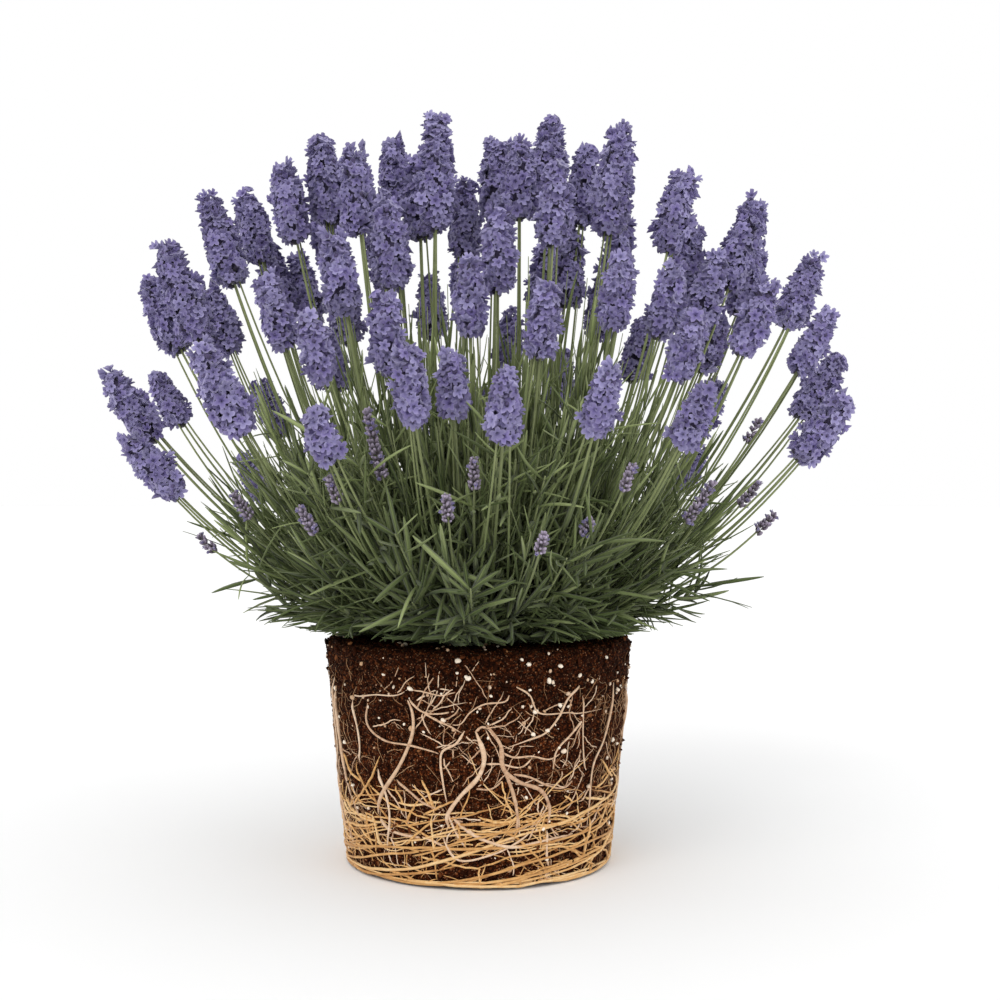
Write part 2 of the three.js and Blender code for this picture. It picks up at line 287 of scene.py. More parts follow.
class Finish:
    """A material made of nodes round one Principled shader."""

    def __init__(self, name, roughness, **constants):
        self.material = bpy.data.materials.new(name)
        self.material.use_nodes = True
        self.nodes = self.material.node_tree.nodes
        self.links = self.material.node_tree.links
        self.shader = self.nodes["Principled BSDF"]
        self.shader.inputs["Roughness"].default_value = roughness
        self.shader.inputs["Specular IOR Level"].default_value = 0.25
        for socket, value in constants.items():
            self.shader.inputs[socket.replace("_", " ")].default_value = value

    def node(self, kind, settings=None, inputs=None):
        """A node of this kind with its settings made first, then its sockets set or linked."""
        node = self.nodes.new(kind)
        for key, value in (settings or {}).items():
            setattr(node, key, value)
        for key, value in (inputs or {}).items():
            self.put(node.inputs[key], value)
        return node

    def put(self, socket, value):
        """Links or sets one socket."""
        if isinstance(value, Value):
            self.links.new(value.socket, socket)
        elif isinstance(value, bpy.types.NodeSocket):
            self.links.new(value, socket)
        else:
            socket.default_value = value

    def uv(self):
        """The piece's own u and v."""
        place = self.node("ShaderNodeUVMap", {"uv_map": UV_NAME}).outputs[0]
        parts = self.node("ShaderNodeSeparateXYZ", None, {0: place})
        return Value(self, parts.outputs[0]), Value(self, parts.outputs[1])

    def at(self, x, y, z=0.0):
        """A vector from three numbers."""
        return self.node("ShaderNodeCombineXYZ", None, {0: x, 1: y, 2: z}).outputs[0]

    def place(self):
        """The point of the surface, in metres."""
        return self.node("ShaderNodeTexCoord").outputs["Object"]

    def noise(self, vector, scale, detail=2.0, roughness=0.5):
        """Smooth noise, mostly from 0.3 to 0.7."""
        inputs = {"Vector": vector, "Scale": scale, "Detail": detail, "Roughness": roughness}
        return Value(self, self.node("ShaderNodeTexNoise", None, inputs).outputs[0])

    def chance(self, number):
        """A random number from 0 to 1 that stays the same for the same number."""
        node = self.node("ShaderNodeTexWhiteNoise", {"noise_dimensions": "1D"}, {"W": number})
        return Value(self, node.outputs["Value"])

    def cells(self, vector, scale):
        """For each crumb of a broken pattern: a random number, and the distance to its middle."""
        node = self.node("ShaderNodeTexVoronoi", None, {"Vector": vector, "Scale": scale})
        parts = self.node("ShaderNodeSeparateXYZ", None, {0: node.outputs["Color"]})
        return Value(self, parts.outputs[0]), Value(self, node.outputs["Distance"])

    def step(self, value, low, high):
        """0 below low, 1 above high, and smooth between them."""
        inputs = {"Value": value, "From Min": low, "From Max": high}
        node = self.node("ShaderNodeMapRange", {"interpolation_type": "SMOOTHSTEP"}, inputs)
        return Value(self, node.outputs[0])

    def ramp(self, value, stops):
        """A colour that goes through the stops, each (place, colour), as value goes from 0 to 1."""
        node = self.node("ShaderNodeValToRGB", None, {0: value})
        band = node.color_ramp
        while len(band.elements) < len(stops):
            band.elements.new(0.5)
        for element, (place, colour) in zip(band.elements, stops):
            element.position = place
            element.color = (*colour, 1.0)
        return node.outputs[0]

    def mix(self, factor, first, second):
        """Two colours mixed by a factor."""
        first, second = ((*c, 1.0) if isinstance(c, tuple) else c for c in (first, second))
        inputs = {0: factor, 6: first, 7: second}
        return self.node("ShaderNodeMix", {"data_type": "RGBA"}, inputs).outputs[2]

    def brighten(self, colour, amount):
        """A colour times a number that varies."""
        node = self.node("ShaderNodeVectorMath", {"operation": "SCALE"}, {0: colour, "Scale": amount})
        return node.outputs[0]

    def colour(self, colour):
        """Gives the surface its colour."""
        self.links.new(colour, self.shader.inputs["Base Color"])

    def bump(self, height, strength, distance):
        """Raises the surface by height, in steps of distance metres."""
        inputs = {"Height": height, "Strength": strength, "Distance": distance}
        node = self.node("ShaderNodeBump", None, inputs)
        self.links.new(node.outputs[0], self.shader.inputs["Normal"])


def srgb(red, green, blue):
    """A colour from its three 0 to 255 screen values, as linear light."""
    share = np.array([red, green, blue]) / 255
    linear = np.where(share <= 0.04045, share / 12.92, ((share + 0.055) / 1.055) ** 2.4)
    return tuple(float(x) for x in linear)


def tone_of(v, band):
    """Undoes in_band: the tone from 0 to 1 that v stands for."""
    return (v - band[0]) / (band[1] - band[0])


def petal_finish():
    """Violet: nearly indigo in the throat and on the back, partly its own colour and partly
    painted shade, paler and bluer to the lobes' rims, partly a painted highlight, each floret
    with its own tone, and fine streaks that run outwards."""
    made = Finish("petal_violet", 0.62, Sheen_Weight=0.25)
    u, v = made.uv()
    tone = tone_of(v, PETAL_BAND)
    # partly painted shade and highlight: dark at u 0, the back and the throat, pale at u 1, the rims
    body = made.ramp(u, [
        (0.0, srgb(48, 38, 74)),
        (0.3, srgb(94, 84, 134)),
        (0.7, srgb(121, 112, 157)),
        (1.0, srgb(146, 138, 176)),
    ])
    own = made.mix(made.step(tone, 0.1, 0.9), srgb(102, 90, 146), srgb(154, 150, 190))
    body = made.mix(0.38, body, own)
    streaks = made.noise(made.at(u * 2.0, v * 900.0), 3.0, 1.0)
    shade = 0.74 + made.chance((v * 600.0).floor()) * 0.34 + (streaks - 0.5) * 0.3
    made.colour(made.brighten(body, shade))
    return made.material


def calyx_finish(name, foot, middle, tip):
    """Calyces and spike cores: from the foot's colour to the tip's, finely ribbed."""
    made = Finish(name, 0.75, Sheen_Weight=0.2)
    u, v = made.uv()
    tone = tone_of(v, CALYX_BAND)
    body = made.ramp(u, [(0.0, foot), (0.4, middle), (1.0, tip)])
    ribs = made.noise(made.at(u * 4.0, v * 2000.0), 2.0, 1.0)
    made.colour(made.brighten(body, 0.62 + tone * 0.5 + (ribs - 0.5) * 0.4))
    return made.material


def stalk_finish():
    """Stalks: grey-green, paler and yellower towards the spike, faintly striped."""
    made = Finish("stalk_green", 0.7, Sheen_Weight=0.1)
    u, v = made.uv()
    tone = tone_of(v, STALK_BAND)
    body = made.ramp(u, [
        (0.0, srgb(78, 90, 44)),
        (0.45, srgb(100, 112, 64)),
        (1.0, srgb(134, 142, 98)),
    ])
    stripes = made.noise(made.at(u * 30.0, v * 500.0), 1.0, 2.0)
    made.colour(made.brighten(body, 0.72 + tone * 0.4 + (stripes - 0.5) * 0.4))
    return made.material


def leaf_finish():
    """Leaves: grey-green, each of its own tone, with a paler midrib and tip. The map's height
    holds LEAF_ROWS tones, darkest first, which the lower leaves take more often as painted
    shade, and within each the way across a leaf."""
    made = Finish("leaf_grey_green", 0.66, Sheen_Weight=0.12)
    u, v = made.uv()
    row = (v * LEAF_ROWS).floor()
    across = (v * LEAF_ROWS).fraction()
    dark = made.mix(made.step(u, 0.0, 0.6), srgb(44, 54, 22), srgb(64, 77, 36))
    pale = made.mix(made.step(u, 0.0, 0.8), srgb(98, 111, 58), srgb(144, 156, 104))
    # the row's tone is random, and darker on the lower leaves as painted shade
    body = made.mix(made.step(row / LEAF_ROWS, 0.0, 1.0), dark, pale)
    rib = 1 - made.step(across.distance(0.5), 0.01, 0.08)
    body = made.mix(rib * 0.35, body, srgb(150, 160, 108))
    mottle = made.noise(made.at(u * 6.0, v * 300.0), 2.0, 3.0)
    made.colour(made.brighten(body, 0.78 + (mottle - 0.5) * 0.6 + made.chance(row + 0.5) * 0.34))
    return made.material


def bark_finish():
    """Old wood: grey-brown, flaking lengthwise."""
    made = Finish("bark_grey_brown", 0.9)
    place = made.place()
    flakes = made.noise(place, 260.0, 4.0, 0.65)
    made.colour(made.ramp(flakes, [
        (0.3, srgb(48, 36, 26)),
        (0.5, srgb(92, 76, 58)),
        (0.7, srgb(134, 118, 96)),
    ]))
    made.bump(flakes, 0.6, 0.6 * MM)
    return made.material


def compost_finish():
    """Compost: red-brown crumbs, each of its own tone, with painted shade nearly black between
    them, darker towards the top, and pale specks of dust and fibre."""
    made = Finish("compost_brown", 0.95, Specular_IOR_Level=0.06)
    place = made.place()
    height = Value(made, made.node("ShaderNodeSeparateXYZ", None, {0: place}).outputs[2])
    warp = made.noise(place, 300.0, 2.0)
    crumb, middle = made.cells(place, 760.0)
    fine, fine_middle = made.cells(place, 1900.0)
    body = made.ramp(crumb * 0.5 + fine * 0.5, [
        (0.0, srgb(20, 6, 2)),
        (0.4, srgb(57, 23, 7)),
        (0.7, srgb(98, 46, 19)),
        (1.0, srgb(156, 94, 52)),
    ])
    body = made.mix(made.step(fine, 0.9, 0.98) * 0.5, body, srgb(204, 164, 126))
    # darker towards the top: by up to 35%, from 50 mm up to 100 mm and above
    top_darkening = made.step(height, 0.05, 0.1)
    # painted shade: nearly black in the gaps between the crumbs
    gaps = made.step(middle * 0.6 + fine_middle * 0.4, 0.3, 0.62)
    shade = (1.05 + (warp - 0.5) * 0.9) * (1 - top_darkening * 0.35) * (1 - gaps * 0.75)
    made.colour(made.brighten(body, shade))
    made.bump(fine + crumb - middle, 0.8, 0.6 * MM)
    return made.material


def crumb_finish():
    """Loose crumbs and bark chips on the ball, from near black to tan."""
    made = Finish("crumb_brown", 0.95, Specular_IOR_Level=0.06)
    u, v = made.uv()
    tone = tone_of(v, WHOLE_BAND)
    grit = made.noise(made.at(u * 3.0, v * 700.0), 2.0, 2.0)
    body = made.ramp(tone, [
        (0.0, srgb(18, 6, 2)),
        (0.45, srgb(56, 25, 11)),
        (0.85, srgb(98, 54, 28)),
        (1.0, srgb(164, 112, 72)),
    ])
    made.colour(made.brighten(body, 0.7 + grit * 0.6))
    return made.material


def perlite_finish():
    """Perlite: chalky cream-white, some beads stained by the compost."""
    made = Finish("perlite_white", 0.8)
    u, v = made.uv()
    tone = tone_of(v, WHOLE_BAND)
    pits = made.noise(made.at(u * 4.0, v * 700.0), 2.0, 2.0)
    body = made.mix(made.step(tone, 0.05, 0.8), srgb(196, 158, 122), srgb(248, 234, 214))
    made.colour(made.brighten(body, 0.74 + pits * 0.46))
    return made.material


def root_finish(name, dark, middle, pale):
    """Roots: each of its own tone between dark, middle and pale, with uneven rings and
    stains along it."""
    made = Finish(name, 0.6, Sheen_Weight=0.1)
    u, v = made.uv()
    tone = tone_of(v, WHOLE_BAND)
    stains = made.noise(made.at(u * 14.0, v * 400.0), 1.5, 4.0, 0.65)
    stops = [(0.0, dark), (0.5, middle), (1.0, pale)]
    made.colour(made.ramp(tone * 0.55 + (stains - 0.5) * 1.3 + 0.24, stops))
    return made.material


# ---------------------------------------------------------------- the CAD nodes' places

def node_points(name):
    """A CAD node's points, each once."""
    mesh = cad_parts[name].data
    points = np.empty(len(mesh.vertices) * 3)
    mesh.vertices.foreach_get("co", points)
    return np.unique(points.reshape(-1, 3).round(6), axis=0)


def nodes_called(start):
    """The names of the CAD nodes that begin so, in order."""
    return sorted(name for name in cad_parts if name.startswith(start))


def read_stem(name):
    """A flower stem's line and where its spike starts. The line is the quadratic that fits
    the node's points best by their share of the way from its foot to its tip."""
    points = node_points(name)
    lowest = 2 * MM
    stalk_girth = 3 * MM
    foot = points[points[:, 2] < points[:, 2].min() + lowest].mean(axis=0)
    tip = points[np.argmax(np.linalg.norm(points - foot, axis=1))]
    way = tip - foot
    share = (points - foot) @ way / (way @ way)
    line = np.polyfit(share, points, 2)
    off = np.linalg.norm(points - line_at(line, share), axis=1)
    return line, float(share[off > stalk_girth].min())


def line_at(line, share):
    """The quadratic's points: a s^2 + b s + c."""
    share = np.asarray(share, float)[..., None]
    return line[0] * share ** 2 + line[1] * share + line[2]


def line_way(line, share):
    """The quadratic's direction: 2 a s + b."""
    share = np.asarray(share, float)[..., None]
    return unit(2 * line[0] * share + line[1])


BALL_POINTS = node_points("compost_ball")
BALL_TOP = float(BALL_POINTS[:, 2].max())
OFF_EDGE = 2 * MM
ON_SIDE = (BALL_POINTS[:, 2] > OFF_EDGE) & (BALL_POINTS[:, 2] < BALL_TOP - OFF_EDGE)
SIDE_POINTS = BALL_POINTS[ON_SIDE]
SIDE_LINE = np.polyfit(SIDE_POINTS[:, 2], np.linalg.norm(SIDE_POINTS[:, :2], axis=1), 1)
SPREAD = float(CAD_BOX[1][0])  # from the axis to the furthest tip on the right
RISE = float(CAD_BOX[1][2]) - BALL_TOP  # from the compost to the highest tip
STEMS = {name: read_stem(name) for name in nodes_called("flower_stem")}


def ball_radius(height):
    """The ball's radius at a height: it widens evenly from the base to the top."""
    return SIDE_LINE[0] * height + SIDE_LINE[1]


def way_out(turn):
    """The level way out from the ball's axis, by the turn in radians from the front."""
    return np.stack([np.sin(turn), -np.cos(turn), 0 * turn], axis=-1)


def on_ball(turn, height, off):
    """Points on the ball's side: turn in radians from the front, height, distance off it."""
    return way_out(turn) * (ball_radius(height) + off)[..., None] + UP * height[..., None]


# ---------------------------------------------------------------- flowers

def floret_template(lobe, flare, rng):
    """An open floret facing +Z, with lobes so many millimetres long whose rim rises by flare:
    a cone from behind opens into five round lobes with deep notches between them, and the face
    sinks to a narrow throat. The rim's radius goes notch, shoulder, lobe, shoulder, five times
    round, each a little uneven."""
    petal = np.tile([0.54, 0.96, 1.02, 0.94], 5)
    petal = petal * rng.uniform(0.88, 1.08, len(petal))
    flat = np.ones(len(petal))
    radii = np.stack([0 * flat, lobe * petal, 0.34 * lobe * (0.5 + 0.5 * petal), 0 * flat])
    heights = np.stack([-3.8 * flat, flare * petal ** 2, 0.1 * flat, -1.3 * flat])
    # u is 0 at the back and in the throat, whose dark is partly painted shade, and 1 at the rim,
    # whose pale is partly a painted highlight
    return turned_rings(radii * MM, heights * MM, np.array([0.0, 1.0, 0.4, 0.0]))


def calyx_template():
    """A ribbed, slightly swollen cup, closed to a point like a bud: a profile of radii and
    heights carried round, with every other column pushed out and the rest in."""
    profile = [(0.0, -3.6), (0.8, -3.0), (1.25, -0.8), (0.95, 1.2), (0.0, 2.0)]
    ribs = 1 + 0.12 * np.cos(np.arange(6) * np.pi)
    radii = np.stack([radius * ribs for radius, _ in profile])
    heights = np.stack([np.full(len(ribs), height) for _, height in profile])
    return turned_rings(radii * MM, heights * MM, np.array([0.0, 0.15, 0.55, 0.9, 1.0]))


# Wide open, bent back, half open and barely open: each floret's lobe and flare
FLORET_KINDS = [(3.8, 0.2), (3.6, -1.0), (3.4, 1.2), (2.6, 2.2)]
FLORET_SHARES = [0.36, 0.28, 0.24, 0.12]
FLORET_SHAPES = np.random.default_rng(90)
FLORETS = [floret_template(*kind, FLORET_SHAPES) for kind in FLORET_KINDS]
CALYX = calyx_template()


def spike_width(share):
    """The radius of a spike at a share of its length, in shares of its widest: rounded at the
    foot, widest at a third, and narrower to a blunt tip."""
    stops = [0.0, 0.06, 0.2, 0.45, 0.7, 0.9, 1.0]
    return np.interp(share, stops, [0.52, 0.84, 1.0, 1.0, 0.86, 0.68, 0.52])


def spike_radius(length):
    """How thick a spike of a length is: the long ones at the back are the thickest."""
    return np.clip(0.215 * length, 7.3 * MM, 10 * MM)


def spike_length(line, start):
    """How long the stretch of a stem's line from share start to 1 is."""
    return float(np.linalg.norm(line_at(line, 1.0) - line_at(line, start)))


def way_from(axis, turn):
    """The ways out from an axis, square to it: side cos + (axis x side) sin of the turn."""
    side = unit(np.cross(axis, ASLANT))
    return side * np.cos(turn)[:, None] + np.cross(axis, side) * np.sin(turn)[:, None]


def spike(line, start, rng):
    """A flower spike on a stem's line from share start to 1: a dark core, calyces and open
    florets set round it a golden turn apart. A floret stands a spike width off the axis,
    more in the whorls than between them, and faces down at the foot, outwards along the side
    and up at the tip, where a few loose ones splay beyond the others. One in fourteen strays
    further out."""
    length = spike_length(line, start)
    radius = spike_radius(length)
    per_mm, usual_radius, whorl_gap, loose_ones = 2.35, 8.6 * MM, 6.5 * MM, 6
    count = int(12 + per_mm * length / MM * radius / usual_radius)
    place = (np.arange(count) + 0.5) / count
    place = np.clip(place + rng.normal(0, 0.007, count), 0, 1)
    turn = np.arange(count) * GOLDEN_TURN + rng.normal(0, 0.13, count)
    pitch = np.radians(np.interp(place, [0, 0.12, 0.6, 0.86, 1], [-36, 0, 18, 40, 62]))
    pitch += rng.normal(0, 0.26, count)
    loose = place > 1 - loose_ones / count
    pitch[loose] = rng.uniform(0.25, 1.0, loose.sum())
    share = start + (1 - start) * (0.015 + 0.92 * place)
    axis = line_way(line, share)
    out = way_from(axis, turn)
    facing = out * np.cos(pitch)[:, None] + axis * np.sin(pitch)[:, None]
    facing = unit(facing + rng.normal(0, 0.25, (count, 3)))
    whorls = 1 + 0.06 * np.sin(2 * np.pi * place * length / whorl_gap)
    reach = radius * spike_width(place) * whorls * rng.uniform(0.76, 1.05, count)
    reach[loose] *= rng.uniform(0.9, 1.35, loose.sum())
    stray = (rng.uniform(0, 1, count) < 0.07) & (place > 0.06)
    reach[stray] *= rng.uniform(1.12, 1.38, stray.sum())
    rise = radius * 0.52 * np.clip(place - 0.8, 0, 1) / 0.2 * rng.uniform(0, 1, count)
    heads = line_at(line, share) + out * (reach * np.cos(pitch * 0.55))[:, None]
    heads = heads + axis * rise[:, None]
    tones = rng.uniform(0, 1, count)
    kind = rng.choice(len(FLORETS), count, p=FLORET_SHARES)
    parts = []
    for i, template in enumerate(FLORETS):
        one = kind == i
        spins = rng.uniform(0, ABOUT_A_TURN, one.sum())
        sizes = rng.uniform(0.8, 1.12, one.sum())
        parts.append(copies(template, facing[one], heads[one], spins, sizes, tones[one], PETAL_BAND))
    few = np.arange(0, count, 2)
    cups = line_at(line, share[few]) + out[few] * (reach[few] * 0.72)[:, None]
    lean = unit(out[few] + axis[few] * 0.5 + rng.normal(0, 0.2, (len(few), 3)))
    sizes = rng.uniform(0.9, 1.35, len(few))
    parts.append(copies(CALYX, lean, cups, turn[few], sizes, tones[few], CALYX_BAND, 1))
    core = line_at(line, start + (1 - start) * np.linspace(0.0, 0.92, 9))[None]
    thick = 0.62 * radius * np.array([[0.14, 0.7, 0.9, 1.0, 1.0, 0.92, 0.8, 0.65, 0.4]])
    core_tube = tubes(core, thick, 8, np.array([0.1]), CALYX_BAND, 1)
    core_tube.uv[:, 0] = 0.7
    return joined(parts + [core_tube])


def stalk(line, start, thick, rng):
    """A stalk from just under the compost's face to the foot of its spike, thinning upwards
    and wavering a little."""
    rings = 22
    share = np.linspace(-0.02, start + 0.02, rings)
    path = line_at(line, share)
    drift = np.sin(share[:, None] * rng.uniform(5, 9, 3) + rng.uniform(0, 6, 3))
    path += drift * 0.5 * MM * np.sin(np.pi * np.clip(share / start, 0, 1))[:, None]
    width = (thick * np.linspace(1.0, 0.72, rings))[None]
    return tubes(path[None], width, 6, rng.uniform(0, 1, 1), STALK_BAND, 2)


def flower_stems(finishes):
    """One piece for each CAD flower stem: its stalk and its spike."""
    for i, (name, (line, start)) in enumerate(STEMS.items()):
        rng = np.random.default_rng(100 + i)
        parts = [spike(line, start, rng), stalk(line, start, 0.95 * MM, rng)]
        add_piece(name + "_in_flower", joined(parts), finishes, [name], crisp=0)


# Flower stems further inside and at the back, listed: side and depth in hundredths of the
# spread, rise in hundredths of the plant's rise, and the spike's length in millimetres.
INNER_FLOWERS = [
    (-87, 20, 50, 34), (-76, 40, 69, 42), (-60, 45, 78, 42), (-4, 35, 90, 42),
    (-6, -52, 50, 30), (5, -18, 78, 42), (20, 60, 80, 42), (58, 20, 79, 43),
    (48, -20, 68, 38), (67, 30, 62, 34), (78, 35, 76, 40), (-26, 6, 84, 40),
    (26, 80, 58, 40), (-46, 66, 62, 42), (50, 66, 64, 42), (-28, 52, 84, 44),
    (42, 50, 84, 42), (10, 70, 66, 40), (64, 44, 74, 42), (-52, 48, 76, 42),
    (-44, 36, 88, 42), (-70, 62, 34, 36), (66, 64, 36, 36), (-20, 84, 44, 38),
    (-16, 16, 92, 44), (26, 34, 80, 44), (62, 6, 72, 42), (36, 34, 72, 40), (-14, 46, 72, 38),
    (-38, 24, 70, 38),
]

# Young spikes low among the leaves, in the same measures
YOUNG_FLOWERS = [
    (-25, -50, 41, 36), (-1, -57, 33, 17), (-7, -62, 27, 16), (14, -65, 21, 14),
    (-33, -55, 30, 15), (-40, -50, 25, 18), (34, -55, 32, 16), (54, -40, 29, 26),
    (69, -15, 29, 17), (74, 10, 41, 16), (75, -5, 23, 16), (-71, -5, 19, 15),
    (25, -50, 23, 10), (-58, -30, 27, 17), (-50, 52, 30, 16), (12, 62, 34, 18),
    (56, 44, 28, 16),
]


def grown_line(side, depth, rise):
    """A stem's quadratic by the same rule as the CAD stems: its foot stands 20 mm out and a
    sixth of its tip's distance more, and it sags outwards by 8% of its reach."""
    tip = np.array([side, depth, 0.0]) * SPREAD / 100
    far = np.linalg.norm(tip)
    out = tip / far
    foot = out * (20 * MM + 0.16 * far)
    foot[2] = BALL_TOP
    tip[2] = BALL_TOP + RISE * rise / 100
    sag = 0.08 * np.linalg.norm((tip - foot)[:2])
    bend = (foot + tip) / 2 + out * 2 * sag
    bend[2] -= sag
    return np.array([foot - 2 * bend + tip, 2 * (bend - foot), foot])


def grown_stem(side, depth, rise, length):
    """A stem's quadratic and where its spike starts."""
    line = grown_line(side, depth, rise)
    whole = np.linalg.norm(line_at(line, 1.0) - line_at(line, 0.0))
    return line, 1 - length * MM / whole


def inner_flowers(finishes):
    """The stems that the CAD leaves out, ten to a piece."""
    rng = np.random.default_rng(7)
    for i in range(3):
        parts = []
        for row in INNER_FLOWERS[10 * i:10 * i + 10]:
            line, start = grown_stem(*row)
            parts += [spike(line, start, rng), stalk(line, start, 0.8 * MM, rng)]
        add_piece(f"inner_flower_stems_{i + 1}", joined(parts), finishes, crisp=0)


def second_stalks(finishes):
    """Two thinner stalks beside each flower stem's own: each stands up to 13 mm from it at
    the foot, closes in on it evenly, and ends inside its spike."""
    rng = np.random.default_rng(530)
    stems = list(STEMS.values()) + [grown_stem(*row) for row in INNER_FLOWERS]
    stems *= 2
    rings = 14
    t = np.linspace(0, 1, rings)
    paths = np.array([line_at(line, -0.02 + (start + 0.05) * t) for line, start in stems])
    count = len(stems)
    turn = rng.uniform(0, 2 * np.pi, count)
    aside = MM * rng.uniform(5, 13, count)[:, None] * (1 - 0.72 * t)
    paths += level_way(turn)[:, None] * aside[..., None]
    width = taper(0.7, 0.5, count, rings)
    shape = tubes(paths, width, 5, rng.uniform(0, 1, count), STALK_BAND)
    add_piece("second_stalks", shape, finishes)


def young_flowers(finishes):
    """Young spikes: thin, mostly dusky calyces with few open florets, on thin stalks."""
    rng = np.random.default_rng(8)
    parts = []
    for row in YOUNG_FLOWERS:
        line, start = grown_stem(*row)
        parts += [young_spike(line, start, rng), stalk(line, start, 0.7 * MM, rng)]
    add_piece("young_flower_stems", joined(parts), finishes)


def young_spike(line, start, rng):
    """Whorls of slender calyces hugging the axis, with gaps between the whorls and a few
    small florets among them."""
    length = spike_length(line, start)
    whorls = max(int(length / (2.6 * MM)), 4)
    around = 8
    count = whorls * around
    whorl = np.repeat(np.arange(whorls), around)
    place = (whorl + 0.5 + rng.uniform(-0.3, 0.3, count)) / whorls
    turn = np.tile(np.arange(around), whorls) * 2 * np.pi / around + whorl * 0.4
    turn = turn + rng.normal(0, 0.15, count)
    share = start + (1 - start) * place
    axis = line_way(line, share)
    out = way_from(axis, turn)
    heads = line_at(line, share) + out * (MM * (2.2 - 1.1 * place ** 2))[:, None]
    lean = unit(out * 0.8 + axis + rng.normal(0, 0.2, (count, 3)))
    tones = rng.uniform(0, 1, count)
    sizes = rng.uniform(0.45, 0.75, count)
    parts = [copies(CALYX, lean, heads, turn, sizes, tones, CALYX_BAND, 1)]
    few = rng.random(count) < 0.2
    mouths = (heads + out * 0.9 * MM)[few]
    small = np.full(few.sum(), 0.4)
    parts.append(copies(FLORETS[3], lean[few], mouths, turn[few], small, tones[few], PETAL_BAND))
    return joined(parts)


# ---------------------------------------------------------------- foliage

def blades(starts, ways, ups, lengths, widths, droops, rng):
    """Narrow leaves, one for each start: the midrib leaves along its way and bends down by
    droop times its length, s + w t - u droop t^2. The outline widens over the first fifth,
    stays even and closes to a blunt tip over the last, and the edges roll under. v holds the
    leaf's tone, random but darker low down as painted shade, and the way across it. A leaf
    that would dip below a skirt that rises outwards is tipped up until it clears it."""
    n, m, sides = len(starts), 7, 4
    t = np.array([0.0, 0.1, 0.3, 0.52, 0.75, 0.92, 1.0])
    paths = starts[:, None] + ways[:, None] * (lengths[:, None] * t)[..., None]
    paths -= ups[:, None] * (lengths[:, None] * droops[:, None] * t ** 2)[..., None]
    skirt = 2 * MM + 0.2 * np.maximum(np.hypot(paths[..., 0], paths[..., 1]) - 74 * MM, 0)
    lack = np.max(BALL_TOP + skirt - paths[..., 2], axis=1, keepdims=True)
    paths[..., 2] += np.maximum(lack, 0) * t ** 0.6
    wide = widths[:, None] / 2 * np.array([0.25, 0.62, 0.95, 1.0, 0.84, 0.5, 0.16])
    thick = 0.2 * wide + 0.1 * MM
    ref = np.broadcast_to(ups[:, None], paths.shape)
    shape = tubes(paths, wide, sides, np.zeros(n), WHOLE_BAND, 0, thick, ref, roll=0.25)
    # painted shade: the lower a leaf stands, the darker the tone it takes
    height = (paths[:, 3, 2] - BALL_TOP) / (110 * MM)
    tone = np.clip(0.16 + 0.42 * np.clip(height, 0, 1) + rng.normal(0, 0.24, n), 0, 0.999)
    row = (tone * LEAF_ROWS).astype(int)
    across = 0.5 + 0.42 * np.cos(np.arange(sides) * 2 * np.pi / sides)
    v = np.broadcast_to(across, (n, m, sides)).reshape(n, -1)
    v = np.concatenate([v, np.full((n, 2), 0.5)], axis=1)
    shape.uv[:, 1] = ((row[:, None] + v) / LEAF_ROWS).ravel()
    return shape


def dome_radius(lean):
    """How far leafy shoots reach from the crown, by their lean from upright in degrees."""
    return MM * np.interp(lean, [0, 30, 55, 70, 88], [106, 118, 136, 116, 76])


def leafy_shoots(finishes):
    """One piece for each CAD shoot: the leafy shoots of its sector of the plant. A shoot is a
    quadratic from its foot to a point on the dome, with pairs of leaves that get shorter
    towards its end, every other pair turned a quarter round."""
    names = nodes_called("leafy_shoot")
    width = 2 * np.pi / len(names)
    count = 26
    for i, name in enumerate(names):
        rng = np.random.default_rng(300 + i)
        middle = node_points(name).mean(axis=0)
        sector = np.arctan2(middle[1], middle[0])
        spot = rng.permutation(count) / count - 0.5 + rng.uniform(-0.05, 0.05, count)
        turn = sector + width * spot
        lean = np.degrees(np.arccos(1 - np.linspace(0.02, 0.93, count) ** 1.05))
        add_piece(name + "_in_leaf", shoots(turn, lean, rng), finishes, [name])


def bow(foot, bend, tip, t):
    """Points on quadratic curves: f (1 - t)^2 + 2 b t (1 - t) + p t^2."""
    foot, bend, tip = foot[:, None], bend[:, None], tip[:, None]
    return foot * (1 - t) ** 2 + 2 * bend * t * (1 - t) + tip * t ** 2


